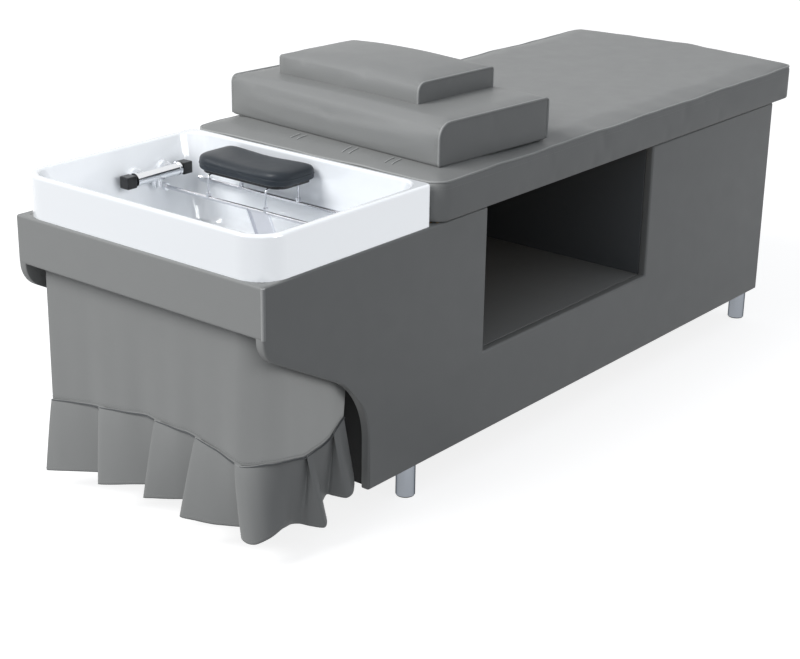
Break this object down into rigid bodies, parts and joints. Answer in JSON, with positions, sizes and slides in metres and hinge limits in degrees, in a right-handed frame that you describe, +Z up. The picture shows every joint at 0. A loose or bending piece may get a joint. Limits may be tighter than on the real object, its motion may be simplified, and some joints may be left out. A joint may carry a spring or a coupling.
{
  "type": "hair washing bed",
  "caption": "Upholstered grey wash bed with a moulded white basin, sliding neck rest, ruffled curtain, bolster, pillow and an open cubby.",
  "frame": {"origin": "on the floor under the middle of the bounding box", "axes": "+Z up, +X from the basin end to the foot end, +Y away from the side with the open cubby"},
  "size_m": [1.92, 0.66, 0.7976],
  "materials": {
    "panel_leather": "matt grain",
    "frame_wood": "raw board",
    "chrome": "polished",
    "rubber": "matt",
    "basin_white": "glossy",
    "mattress_leather": "matt grain",
    "curtain_cloth": "matt grain",
    "fastener_fabric": "looped",
    "neck_rest_leather": "smooth",
    "black_plastic": "satin",
    "white_plastic": "satin",
    "steel": "brushed",
    "brass": "bright"
  },
  "bodies": {
    "cabinet": {"near_side_panel": "panel_leather", "far_side_panel": "panel_leather", "head_apron": "panel_leather", "foot_panel": "panel_leather", "bulkhead_panel": "panel_leather", "bottom_board": "panel_leather", "basin_cross_rail": "panel_leather", "corner_blocks": "panel_leather", "cubby_head_wall": "panel_leather", "cubby_foot_wall": "panel_leather", "cubby_floor": "panel_leather", "cubby_back_board": "panel_leather", "deck_cross_rails": "frame_wood", "leg_blocks": "frame_wood", "near_head_leg": "chrome", "far_head_leg": "chrome", "near_foot_leg": "chrome", "far_foot_leg": "chrome", "leg_pads": "rubber", "mattress_board": "frame_wood", "mattress": "mattress_leather", "curtain": "curtain_cloth", "curtain_ruffle": "curtain_cloth", "curtain_fastener": "fastener_fabric", "basin_shell": "basin_white", "drain_cup": "chrome", "drain_gasket": "rubber", "drain_locknut": "white_plastic", "drain_tailpiece": "white_plastic", "drain_union": "white_plastic", "tap_body": "chrome", "tap_wall_flanges": "chrome", "tap_washers": "rubber", "tap_back_nuts": "brass", "front_rail": "chrome", "back_rail": "chrome", "rail_sockets": "chrome", "rail_prop": "steel", "prop_pad": "black_plastic"},
    "strainer_body": {"strainer": "chrome"},
    "flow_handle": {"flow_knob": "black_plastic", "flow_spindle": "brass"},
    "temperature_handle": {"temperature_knob": "black_plastic", "temperature_spindle": "brass"},
    "rest_slider": {"rail_shoes": "steel"},
    "neck_rest": {"rest_wires": "steel", "wire_clips": "black_plastic", "rest_plate": "black_plastic", "rest_cushion": "neck_rest_leather"},
    "bolster_body": {"bolster": "mattress_leather"},
    "pillow_body": {"pillow": "mattress_leather"}
  },
  "joints": [
    {"name": "strainer_lift", "type": "slide", "parent": "cabinet", "child": "strainer_body", "axis": [0, 0, 1], "range_m": [0, 0.1]},
    {"name": "flow_turn", "type": "hinge", "parent": "cabinet", "child": "flow_handle", "pos_m": [-0.723, 0.265, 0.59], "axis": [1, 0, 0], "range_deg": [0, 90]},
    {"name": "temperature_turn", "type": "hinge", "parent": "cabinet", "child": "temperature_handle", "pos_m": [-0.568, 0.265, 0.59], "axis": [1, 0, 0], "range_deg": [-90, 90]},
    {"name": "rest_slide", "type": "slide", "parent": "cabinet", "child": "rest_slider", "axis": [0, 1, 0], "range_m": [-0.22, 0.058]},
    {"name": "neck_rest_lift", "type": "slide", "parent": "rest_slider", "child": "neck_rest", "axis": [0, 0, 1], "range_m": [0, 0.15]},
    {"name": "bolster_lift", "type": "slide", "parent": "cabinet", "child": "bolster_body", "axis": [0, 0, 1], "range_m": [0, 0.3]},
    {"name": "pillow_lift", "type": "slide", "parent": "bolster_body", "child": "pillow_body", "axis": [0, 0, 1], "range_m": [0, 0.3]}
  ]
}
